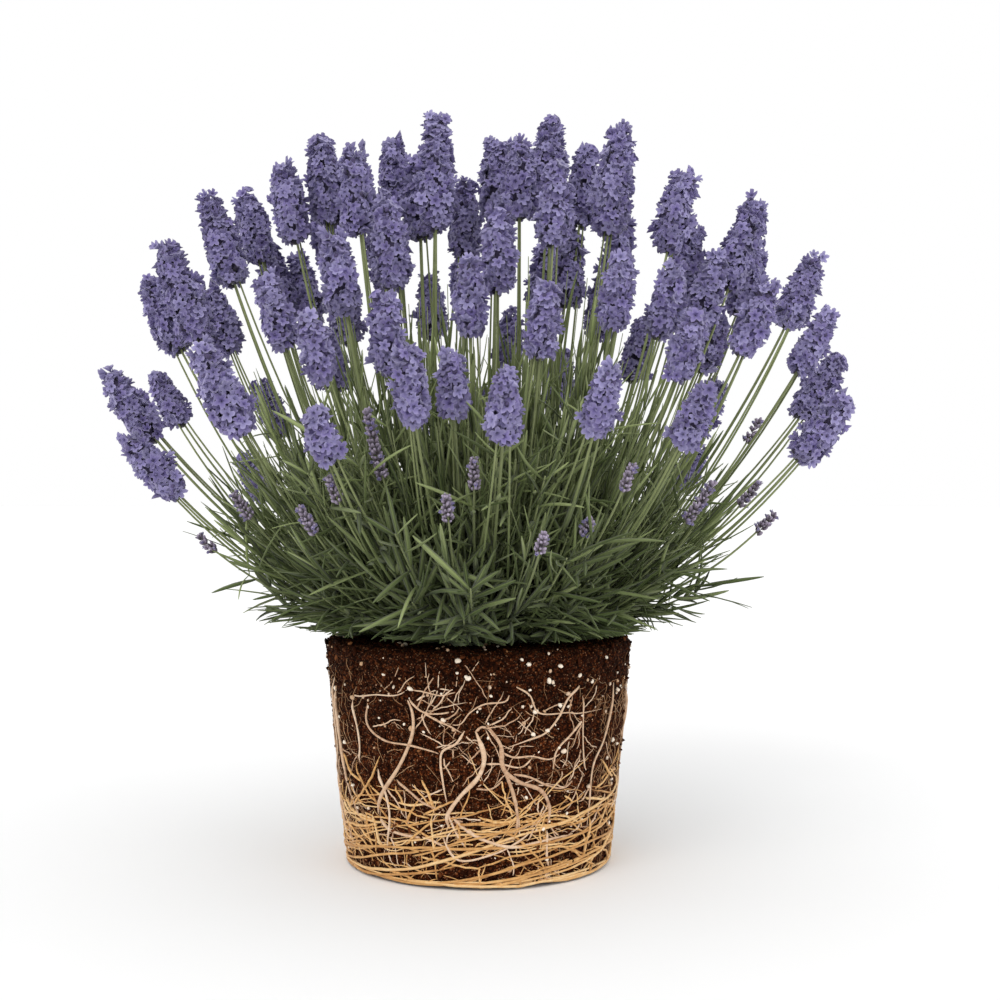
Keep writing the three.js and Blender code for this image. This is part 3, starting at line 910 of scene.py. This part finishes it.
def shoots(turn, lean, rng):
    """Shoots that lean so many degrees, towards turn, with their leaves. The lower a shoot
    leans, the less even its reach, so that the fringe over the ball is open and ragged."""
    count = len(turn)
    out = level_way(turn)
    tilt = np.radians(lean)[:, None]
    low = np.clip((lean - 45) / 45, 0, 1)
    reach = dome_radius(lean) * rng.uniform(0.6 - 0.2 * low, 1.16 + 0.18 * low)
    tip = (out * np.sin(tilt) + UP * np.cos(tilt)) * reach[:, None] + UP * (BALL_TOP + 6 * MM)
    foot = out * (MM * (6 + 46 * (lean / 90) ** 0.8))[:, None] + UP * (BALL_TOP - 1 * MM)
    bend = (foot + tip) / 2 + out * (0.06 * reach * np.sin(tilt[:, 0]))[:, None]
    rings = 9
    paths = bow(foot, bend, tip, np.linspace(0, 1, rings)[None, :, None])
    width = taper(1.0, 0.4, count, rings)
    stems = tubes(paths, width, 5, rng.uniform(0, 1, count), STALK_BAND, 1)
    pairs = 11
    share = np.linspace(0.12, 1.0, pairs)[None, :, None]
    share = np.clip(share + rng.uniform(-0.03, 0.03, (count, pairs, 1)), 0.08, 1)
    spot = bow(foot, bend, tip, share)
    along = unit((bend - foot)[:, None] * (1 - share) + (tip - bend)[:, None] * share)
    side = unit(np.cross(along, UP + 0.01))
    over = np.cross(side, along)
    parts = [stems]
    quarter = (np.arange(pairs) % 2)[None] * np.pi / 2
    for hand in (0.0, np.pi):
        spin = hand + quarter + rng.normal(0.35, 0.5, (count, pairs))
        branch = side * np.cos(spin)[..., None] + over * np.sin(spin)[..., None]
        spread = np.radians(rng.uniform(22, 70, (count, pairs)))[..., None]
        way = unit(along * np.cos(spread) + branch * np.sin(spread))
        up = square_to(way, along)
        length = MM * rng.uniform(20, 48, (count, pairs)) * (1 - 0.25 * share[..., 0])
        blade_width = MM * rng.uniform(1.7, 3.3, (count, pairs))
        droop = rng.uniform(-0.26, 0.4, (count, pairs))
        flat = (x.reshape(-1, *x.shape[2:]) for x in (spot, way, up, length, blade_width, droop))
        parts.append(blades(*flat, rng))
    return joined(parts)


def leaf_pairs(lines, shares, spreads, lengths, widths, rng):
    """Pairs of long leaves on stems, one pair on each stem at each share of its height."""
    stems = len(lines)
    lines = np.array(lines).transpose(1, 0, 2)
    starts, ways, ups = [], [], []
    for share in shares:
        places = share + rng.uniform(-0.05, 0.05, stems)
        along = line_way(lines, places)
        turn = rng.uniform(0, 2 * np.pi, stems)
        side = unit(np.cross(along, level_way(turn) + 0.1 * UP))
        for hand in (-1, 1):
            spread = np.radians(rng.uniform(*spreads, stems))[:, None]
            way = along * np.cos(spread) + side * hand * np.sin(spread)
            starts.append(line_at(lines, places))
            ways.append(way)
            ups.append(square_to(way, along))
    count = len(starts) * stems
    return blades(np.concatenate(starts), np.concatenate(ways), np.concatenate(ups),
                  MM * rng.uniform(*lengths, count), MM * rng.uniform(*widths, count),
                  rng.uniform(-0.1, 0.14, count), rng)


def stem_leaves(finishes):
    """Long, upright leaves on the flower stalks, three pairs low on each."""
    rng = np.random.default_rng(500)
    lines = [line for line, _ in STEMS.values()]
    lines += [grown_line(*row[:3]) for row in INNER_FLOWERS + YOUNG_FLOWERS]
    shape = leaf_pairs(lines, (0.12, 0.25, 0.4), (10, 42), (22, 46), (1.6, 2.8), rng)
    add_piece("stem_leaves", shape, finishes)


def green_stems(finishes):
    """The crowd of thin stems without flowers that stand between the flower stalks, each with
    long narrow leaves close along it. Their tips lie on a dome inside the spikes' own. One
    piece holds those of the front, the other those of the back."""
    rng = np.random.default_rng(520)
    count = 205
    rings = 10
    for name, half in (("front", -1), ("back", 1)):
        turn = half * rng.uniform(0, np.pi, count)
        lean = np.arccos(1 - 0.7 * rng.random(count) ** 0.85)
        tall = rng.random(count) < 0.5
        share = np.where(tall, rng.uniform(0.68, 0.85, count), rng.uniform(0.5, 0.7, count))
        share -= 0.2 * np.sin(lean) * (share - 0.45)
        side = 100 * np.sin(lean) * np.cos(turn) * share
        depth = 84 * np.sin(lean) * np.sin(turn) * share
        rise = 92 * np.cos(lean) * share
        lines = [grown_line(*row) for row in np.stack([side, depth, rise], axis=-1)]
        high = leaf_pairs(lines, (0.58, 0.76), (4, 22), (20, 42), (1.2, 2.3), rng)
        low = leaf_pairs(lines, (0.22, 0.4), (12, 44), (18, 42), (1.3, 2.5), rng)
        paths = np.array([line_at(line, np.linspace(-0.02, 1, rings)) for line in lines])
        width = taper(0.75, 0.22, count, rings)
        bare = tubes(paths, width, 5, rng.uniform(0, 1, count), STALK_BAND, 1)
        add_piece(f"green_stems_{name}", joined([high, low, bare]), finishes)


def woody_crown(finishes):
    """The stump and its short branches: tubes with a swollen, knotty outline."""
    rng = np.random.default_rng(510)
    count, rings = 9, 14
    turn = np.arange(count) * 2 * np.pi / count + rng.uniform(-0.2, 0.2, count)
    t = np.linspace(0, 1, rings)[None, :, None]
    reach = MM * rng.uniform(12, 40, count)[:, None, None]
    paths = UP * (BALL_TOP - 2 * MM + 34 * MM * t) + level_way(turn)[:, None] * reach * t ** 1.4
    paths = paths + rng.normal(0, 0.5 * MM, paths.shape)
    knots = 1 + 0.14 * np.sin(np.linspace(0, 14, rings) + rng.uniform(0, 6, (count, 1)))
    width = MM * np.linspace(4.2, 1.7, rings) * knots
    branches = tubes(paths, width, 10, rng.uniform(0, 1, count), WHOLE_BAND)
    stump_rings = 10
    path = UP * (BALL_TOP + MM * np.linspace(-3, 20, stump_rings))[None, :, None]
    swelling = 0.5 * np.sin(np.linspace(0, 12, stump_rings))
    width = MM * (8.5 - 2.5 * np.linspace(0, 1, stump_rings) + swelling)[None]
    stump = tubes(path, width, 14, np.array([0.5]), WHOLE_BAND)
    whole = joined([stump, branches])
    add_piece("woody_crown_bark", whole, finishes, ["woody_crown"], mapped=False)


# ---------------------------------------------------------------- the ball

def scatter(cell):
    """A point in each cell of a cubic grid, from a hash of the cell: three sines of its
    numbers, each times a large factor, taken past their whole part."""
    mixed = cell @ np.array([[127.1, 269.5, 113.5], [311.7, 183.3, 271.9], [74.7, 246.1, 124.6]])
    return np.modf(np.abs(np.sin(mixed) * 43758.5453))[0]


def crumbs_height(points, size):
    """How high rounded crumbs of a size stand: 1 at the middle of the nearest crumb, falling
    as a half circle to 0 at three quarters of the size from it."""
    scaled = points / size
    base = np.floor(scaled)
    nearest = np.full(points.shape[:-1], 9.0)
    for step in np.ndindex(3, 3, 3):
        cell = base + np.array(step) - 1
        nearest = np.minimum(nearest, np.linalg.norm(cell + scatter(cell) - scaled, axis=-1))
    return np.sqrt(np.clip(1 - (nearest / 0.75) ** 2, 0, 1))


def compost_ball(finish):
    """The ball's surface: a profile up the side and over the top, carried round, and raised
    by crumbs of two sizes. The flat base stays flat."""
    columns, side_rows, lid_rows, edge_rows = 500, 112, 44, 7
    round_edge = 5 * MM
    quarter = np.linspace(0, np.pi / 2, edge_rows)
    base, top = ball_radius(0.0), ball_radius(BALL_TOP)
    side = np.linspace(round_edge, BALL_TOP - round_edge, side_rows)
    lid = np.linspace(top - round_edge, 3 * MM, lid_rows)[1:]
    radius = np.concatenate([
        [base * 0.45],
        base - round_edge * (1 - np.sin(quarter)),
        ball_radius(side)[1:-1],
        top - round_edge * (1 - np.cos(quarter)),
        lid,
    ])
    height = np.concatenate([
        [0.0],
        round_edge * (1 - np.cos(quarter)),
        side[1:-1],
        BALL_TOP - round_edge * (1 - np.sin(quarter)),
        np.full(len(lid), BALL_TOP),
    ])
    out = way_out(np.arange(columns) * 2 * np.pi / columns)
    skin = radius[:, None, None] * out + height[:, None, None] * UP
    slope_r, slope_z = np.gradient(radius), np.gradient(height)
    out_r, out_z = (x / np.hypot(slope_r, slope_z) for x in (slope_z, -slope_r))
    normal = out_r[:, None, None] * out + out_z[:, None, None] * UP
    rough = 0.9 * crumbs_height(skin, 3.8 * MM) + 0.8 * crumbs_height(skin + 0.05, 2.2 * MM)
    flat_foot = np.clip(height / (3 * MM), 0, 1)[:, None]
    lift = MM * (rough - 1.3) * flat_foot
    skin = skin + normal * lift[..., None]
    skin[..., 2] = np.maximum(skin[..., 2], 0.0)
    points = np.concatenate([skin.reshape(-1, 3), [[0, 0, 0]], [[0, 0, BALL_TOP]]])
    no_map = np.zeros((len(points), 2))
    shape = Shape(points, *ring_faces(len(radius), columns), no_map).faced_out()
    add_piece("compost", shape, [finish], ["compost_ball"], mapped=False)


def pebble_template(k, rows, rng, bumpy):
    """A lumpy pebble of radius 1 mm: a ball of rows of k points, each at sine and minus cosine
    of its climb from the foot, pushed in or out by up to bumpy."""
    climb = np.linspace(0, np.pi, rows)[:, None]
    lump = 1 + rng.uniform(-bumpy, bumpy, (rows, k))
    radii = np.sin(climb) * lump
    heights = -np.cos(climb) * lump
    radii[0], radii[-1] = 0, 0
    return turned_rings(radii * MM, heights * MM, np.linspace(0, 1, rows))


def over_ball(count, rng, low, high, top_share=0.0):
    """Random places on the ball's side between two heights, and a share of them on its top,
    with the way out from the surface there."""
    turn = rng.uniform(0, 2 * np.pi, count)
    height = rng.uniform(low, high, count)
    places = on_ball(turn, height, np.zeros(count))
    out = way_out(turn)
    on_top = rng.random(count) < top_share
    far = ball_radius(BALL_TOP) * np.sqrt(rng.random(count)) * 0.97
    lid = out * far[:, None] + UP * BALL_TOP
    places[on_top] = lid[on_top]
    out[on_top] = UP
    return places, out


def loose_crumbs(finish):
    """Thousands of crumbs and chips bedded in the surface."""
    rng = np.random.default_rng(601)
    count = 4200
    places, out = over_ball(count, rng, 1.5 * MM, BALL_TOP - 1 * MM, 0.3)
    places += out * rng.uniform(-0.7, 0.3, (count, 1)) * MM
    facing = unit(out + rng.normal(0, 0.5, (count, 3)))
    sizes = rng.gamma(3.0, 0.22, count) + 0.3
    spins = rng.uniform(0, 2 * np.pi, count)
    pebble = pebble_template(5, 4, rng, 0.35)
    pebble.points *= [1.5, 0.8, 0.5]
    tones = rng.beta(1.6, 2.6, count)
    shape = copies(pebble, facing, places, spins, np.minimum(sizes, 1.9), tones, WHOLE_BAND)
    add_piece("loose_crumbs", shape, [finish])


def perlite(finish):
    """White beads, most of them high on the side and on the top."""
    rng = np.random.default_rng(606)
    middle = 0.62 * BALL_TOP
    high = over_ball(300, rng, middle, BALL_TOP - 1 * MM, 0.2)
    low = over_ball(80, rng, 8 * MM, middle)
    places, out = (np.concatenate(both) for both in zip(high, low))
    count = len(places)
    places += out * rng.uniform(-0.1, 0.5, (count, 1)) * MM
    facing = unit(out + rng.normal(0, 0.6, (count, 3)))
    sizes = np.clip(rng.gamma(3.5, 0.18, count) + 0.15, 0.3, 1.3)
    spins = rng.uniform(0, 2 * np.pi, count)
    bead = pebble_template(7, 6, rng, 0.24)
    bead.points *= [1.25, 0.9, 0.75]
    shape = copies(bead, facing, places, spins, sizes, rng.uniform(0, 1, count), WHOLE_BAND)
    add_piece("perlite_beads", shape, [finish])


# ---------------------------------------------------------------- roots

# Main roots, listed one by one: each root's radius in millimetres, then degrees round from the
# front and millimetres up, from where it shows at the ball's face to where it is lost again.
# The thick ones are the CAD's own.
THICK_ROOTS = [
    (1.25, [(-1, 78), (2, 66), (0, 56), (-7, 46), (-12, 36), (-11, 29)]),
    (1.05, [(-44, 33), (-40, 44), (-31, 59), (-25, 74), (-24, 85), (-27, 94)]),
    (1.2, [(8, 72), (9, 60), (15, 53), (24, 48), (28, 39), (28, 29)]),
    (1.25, [(176, 92), (180, 78), (188, 64), (186, 48), (192, 32)]),
]
LESSER_ROOTS = [
    (1, [(3, 81), (8, 71), (9, 61), (13, 47), (15, 33), (13, 20)]),
    (0.7, [(-1, 78), (1, 80), (3, 80)]),
    (0.7, [(-5, 78), (-8, 72), (-13, 68), (-14, 62), (-13, 51), (-12, 41)]),
    (0.45, [(11, 95), (9, 92), (2, 91), (-3, 87), (-7, 81), (-14, 82)]),
    (0.45, [(12, 100), (18, 95), (22, 86), (34, 85), (39, 84), (53, 84)]),
    (0.6, [(40, 98), (36, 95), (33, 91), (30, 83), (25, 76), (18, 73), (9, 69)]),
    (0.45, [(-54, 91), (-49, 91), (-40, 93), (-30, 94), (-23, 100)]),
    (0.6, [(-54, 89), (-52, 77), (-51, 64), (-53, 56)]),
    (0.6, [(-45, 88), (-45, 77), (-37, 71), (-26, 70), (-18, 68), (-14, 66)]),
    (0.55, [(-26, 93), (-21, 87), (-15, 86), (-6, 88)]),
    (0.55, [(-21, 87), (-15, 83), (-10, 80), (-6, 77)]),
    (0.6, [(43, 82), (36, 74), (30, 66), (29, 54)]),
    (0.55, [(8, 68), (13, 65), (20, 65), (27, 63), (34, 66)]),
    (0.45, [(41, 93), (42, 78), (44, 58), (47, 54)]),
    (0.6, [(61, 96), (56, 69), (49, 53), (50, 18)]),
    (0.7, [(-42, 56), (-38, 43), (-37, 30), (-41, 12)]),
    (0.7, [(-33, 52), (-27, 47), (-21, 42), (-12, 38)]),
    (0.7, [(-12, 38), (-9, 29), (-4, 19)]),
    (0.95, [(-12, 38), (-4, 29), (4, 24), (14, 21), (29, 23), (52, 24)]),
    (0.85, [(-44, 33), (-38, 27), (-30, 25), (-19, 24), (-8, 17)]),
    (0.6, [(11, 57), (19, 55), (27, 50), (35, 48), (43, 55)]),
    (0.55, [(2, 62), (8, 62), (16, 60), (22, 67)]),
    (0.55, [(-2, 50), (5, 50), (11, 56)]),
    (0.6, [(-15, 28), (-8, 15), (6, 18), (16, 24), (24, 31)]),
    (0.7, [(28, 29), (28, 16), (30, 8)]),
]


def smooth_route(route, count):
    """A listed route as evenly spread points: turn and height each follow the cubic
    through the points by their number, a Catmull-Rom curve."""
    degrees, heights = np.array(route, float).T
    number = np.linspace(0, len(route) - 1.001, count)
    cell = number.astype(int)
    t = number - cell
    found = []
    for knot in (np.radians(degrees), heights * MM):
        padded = np.concatenate([[2 * knot[0] - knot[1]], knot, [2 * knot[-1] - knot[-2]]])
        a, b, c, d = (padded[cell + i] for i in range(4))
        square = (2 * a - 5 * b + 4 * c - d) * t ** 2
        cube = (3 * b - a - 3 * c + d) * t ** 3
        found.append(0.5 * (2 * b + (c - a) * t + square + cube))
    return found


def crawl(turn, height, heading, length, points, wander, rng):
    """Roots that crawl over the ball: from a start, each takes even steps whose heading, in
    radians above level, drifts as a random walk. Heights fold back at the ball's edges."""
    n = len(turn)
    drift = np.cumsum(rng.normal(0, wander, (n, points)), axis=1)
    kinks = rng.normal(0, wander, (n, points))
    way = heading[:, None] + drift - drift[:, :1] + kinks
    step = (length / points)[:, None]
    level = np.cumsum(np.cos(way) * step, axis=1)
    climb = np.cumsum(np.sin(way) * step, axis=1)
    lowest = 1.5 * MM
    tall = BALL_TOP - 5 * MM
    z = np.abs((height[:, None] + climb - lowest + tall) % (2 * tall) - tall) + lowest
    return turn[:, None] + level / ball_radius(z), z


def root_tubes(turn, height, radius, rng, sides=6, proud=0.5):
    """Root tubes along crawls (n, m). Each stands proud times its radius off the ball, at its
    own depth, dips in and out of the crumbs, and thins and sinks into them at both ends."""
    n, m = turn.shape
    t = np.linspace(0, 1, m)
    waves = np.sin(9 * t + rng.uniform(0, 6, (n, 1)))
    ends = np.clip(np.minimum(t * 9, (1 - t) * 5), 0, 1)
    off = radius[:, None] * proud + MM * (0.3 * waves + rng.uniform(-0.2, 0.6, (n, 1)))
    paths = on_ball(turn, height, off - MM * 1.4 * (1 - ends))
    knots = 1 + 0.09 * np.sin(21 * t + rng.uniform(0, 6, (n, 1))) + rng.normal(0, 0.045, (n, m))
    width = radius[:, None] * knots * (1 - 0.35 * t) * (0.35 + 0.65 * ends)
    return tubes(paths, width, sides, rng.uniform(0, 1, n), WHOLE_BAND, ref=way_out(turn))


def daughters(turn, height, count, length, radius, rng, points=16):
    """Roots that branch off roots (n, m): each starts at a random point of a random mother,
    and leaves at an angle to one side of it."""
    mother = rng.integers(0, len(turn), count)
    spot = rng.integers(1, turn.shape[1] - 1, count)
    level = (turn[mother, spot + 1] - turn[mother, spot - 1]) * ball_radius(height[mother, spot])
    climb = height[mother, spot + 1] - height[mother, spot - 1]
    angle = rng.uniform(0.5, 1.1, count) * rng.choice([-1, 1], count)
    heading = np.arctan2(climb, level) + angle
    lengths = length * rng.uniform(0.5, 1.3, count)
    grown = crawl(turn[mother, spot], height[mother, spot], heading, lengths, points, 0.13, rng)
    return grown, radius * rng.uniform(0.7, 1.2, count)


def root_pieces(cream, gold, tan):
    """The thick roots one piece each, then the net of branches, the mat and the hairs."""
    rng = np.random.default_rng(704)
    steps = 40
    turns, heights = [], []
    for (thick, route), node in zip(THICK_ROOTS, nodes_called("thick_root")):
        turn, height = smooth_route(route, steps)
        turns.append(turn)
        heights.append(height)
        shape = root_tubes(turn[None], height[None], np.array([thick * MM]), rng, 9, 0.7)
        add_piece(node + "_bark", shape, [cream], [node])
    lesser = [smooth_route(route, steps) for _, route in LESSER_ROOTS]
    turn = np.array([t for t, _ in lesser])
    height = np.array([h for _, h in lesser])
    radius = MM * np.array([thick for thick, _ in LESSER_ROOTS])
    parts = [root_tubes(turn, height, radius, rng, 7, 0.6)]
    wild = 34
    far_turn = rng.uniform(np.radians(66), np.radians(294), wild)
    heading = rng.uniform(-2.6, -0.5, wild)
    high = rng.uniform(0.5, 0.86, wild) * BALL_TOP
    length = MM * rng.uniform(40, 80, wild)
    grown = crawl(far_turn, high, heading, length, steps, 0.11, rng)
    parts.append(root_tubes(*grown, MM * rng.uniform(0.6, 1.1, wild), rng, 7, 0.6))
    turn = np.concatenate([turn, turns, grown[0]])
    height = np.concatenate([height, heights, grown[1]])
    first, radius = daughters(turn, height, 180, 21 * MM, 0.4 * MM, rng)
    parts.append(root_tubes(*first, radius, rng, 6, 0.4))
    second, radius = daughters(*first, 170, 12 * MM, 0.26 * MM, rng, points=12)
    parts.append(root_tubes(*second, radius, rng, 5, 0.4))
    add_piece("root_net", joined(parts), [cream])
    root_mat(gold, rng)
    hair_roots(tan, rng)


def root_mat(finish, rng):
    """The golden mat low on the ball: roots that cross each other, most of them nearly level
    and the others steep, and rings of roots that circle the foot."""
    count = 450
    turn = rng.uniform(0, 2 * np.pi, count)
    height = MM * np.clip(rng.normal(25, 11, count), 4, 47)
    steep = rng.random(count) < 0.34
    heading = np.where(steep, rng.normal(-1.5, 0.5, count), rng.normal(0, 0.3, count))
    heading += np.pi * rng.integers(0, 2, count)
    length = MM * np.where(steep, rng.uniform(8, 26, count), rng.uniform(16, 56, count))
    grown = crawl(turn, height, heading, length, 13, 0.11, rng)
    parts = [root_tubes(*grown, MM * (0.24 + 0.56 * rng.random(count) ** 1.6), rng, 6, 0.6)]
    rings = 26
    start = rng.uniform(0, 2 * np.pi, rings)
    low = MM * rng.uniform(1.3, 3.6, rings)
    length = MM * rng.uniform(120, 330, rings)
    turn, height = crawl(start, low, np.zeros(rings), length, 64, 0.04, rng)
    lowest = 1.25 * MM
    height = lowest + np.abs(height - lowest) * 0.7
    parts.append(root_tubes(turn, height, MM * rng.uniform(0.5, 0.9, rings), rng, 6, 0.4))
    add_piece("root_mat_strands", joined(parts), [finish], ["root_mat"])


def hair_roots(finish, rng):
    """Fine hairs that run down the side, crowded away from the front."""
    count = 1200
    in_front = rng.random(count) < 0.1
    edge = 0.9
    front, back = rng.uniform(-edge, edge, count), rng.uniform(edge, 2 * np.pi - edge, count)
    turn = np.where(in_front, front, back)
    height = rng.uniform(0.05, 0.9, count) * BALL_TOP
    heading = rng.normal(-np.pi / 2, 1.0, count)
    grown = crawl(turn, height, heading, MM * rng.uniform(6, 28, count), 9, 0.14, rng)
    radius = MM * rng.uniform(0.09, 0.2, count)
    add_piece("hair_roots", root_tubes(*grown, radius, rng, 4, 1.5), [finish])


# ---------------------------------------------------------------- setting

def plain_finish(name, colour, roughness):
    """One colour with faint cloudy unevenness."""
    made = Finish(name, roughness)
    clouds = made.noise(made.place(), 1.5, 2.0)
    made.colour(made.mix(clouds, tuple(0.985 * c for c in colour), colour))
    return made.material


def floor():
    """A wide pale disc just under the ball, its rim far outside the view."""
    radius, sides, level = 9.0, 96, -0.2 * MM
    here = np.arange(sides)
    rim = level_way(here * 2 * np.pi / sides) * radius + UP * level
    points = np.concatenate([rim, [UP * level]])
    tris = np.stack([here, (here + 1) % sides, np.full(sides, sides)], axis=-1)
    mesh = bpy.data.meshes.new("floor")
    mesh.from_pydata(points.tolist(), [], tris.tolist())
    mesh.materials.append(plain_finish("floor_white", (0.92, 0.92, 0.92), 0.9))
    disc = bpy.data.objects.new("floor", mesh)
    bpy.context.scene.collection.objects.link(disc)


def light(name, kind, energy, place, aim, **settings):
    """A light of a kind at a place that shines along aim."""
    data = bpy.data.lights.new(name, kind)
    data.energy = energy
    for key, value in settings.items():
        setattr(data, key, value)
    made = bpy.data.objects.new(name, data)
    made.location = place
    made.rotation_euler = Vector(aim).to_track_quat("-Z", "Y").to_euler()
    bpy.context.scene.collection.objects.link(made)


def studio():
    """White surroundings, a wide soft sun from the upper left, and a weak square fill that
    faces the plant's middle."""
    world = bpy.data.worlds.new("studio")
    world.use_nodes = True
    sky = world.node_tree.nodes["Background"]
    sky.inputs["Color"].default_value = (1.0, 1.0, 1.0, 1.0)
    sky.inputs["Strength"].default_value = 1.0
    bpy.context.scene.world = world
    light("sun", "SUN", 0.9, (0.0, 0.0, 0.0), (0.5, 1.0, -0.9), angle=0.7)
    light("fill", "AREA", 6.0, (1.6, -1.4, 0.9), (-1.6, 1.4, -0.7), size=1.4)
    bpy.context.scene.view_settings.view_transform = "Standard"


def camera():
    """Level, 0.8 m in front of the plant's axis and 0.2 m up. The shifts move the plant a
    little to the left and up in the picture."""
    data = bpy.data.cameras.new("camera")
    data.sensor_width = 36.0
    data.lens = 54.72
    data.shift_x = 0.0215
    data.shift_y = -0.025
    data.clip_start = 0.05
    data.clip_end = 60.0
    view = bpy.data.objects.new("camera", data)
    view.location = (0.0, -0.8, 0.2)
    view.rotation_euler = (np.pi / 2, 0.0, 0.0)
    bpy.context.scene.collection.objects.link(view)
    bpy.context.scene.camera = view


petal, green = petal_finish(), stalk_finish()
dusky = calyx_finish("calyx_dusky", srgb(74, 76, 62), srgb(68, 60, 80), srgb(88, 78, 116))
lilac = calyx_finish("calyx_lilac", srgb(74, 72, 58), srgb(100, 88, 102), srgb(168, 156, 178))
flower_finishes = [petal, dusky, green]
leaf_finishes = [leaf_finish(), green]
flower_stems(flower_finishes)
inner_flowers(flower_finishes)
young_flowers([petal, lilac, green])
second_stalks([green])
leafy_shoots(leaf_finishes)
stem_leaves(leaf_finishes)
green_stems(leaf_finishes)
woody_crown([bark_finish()])
compost_ball(compost_finish())
loose_crumbs(crumb_finish())
perlite(perlite_finish())
root_pieces(
    root_finish("root_cream", srgb(160, 116, 84), srgb(208, 174, 142), srgb(234, 210, 184)),
    root_finish("root_gold", srgb(154, 98, 42), srgb(212, 164, 102), srgb(236, 206, 156)),
    root_finish("root_hair_tan", srgb(120, 78, 46), srgb(164, 122, 82), srgb(206, 170, 130)),
)
floor()
studio()
camera()
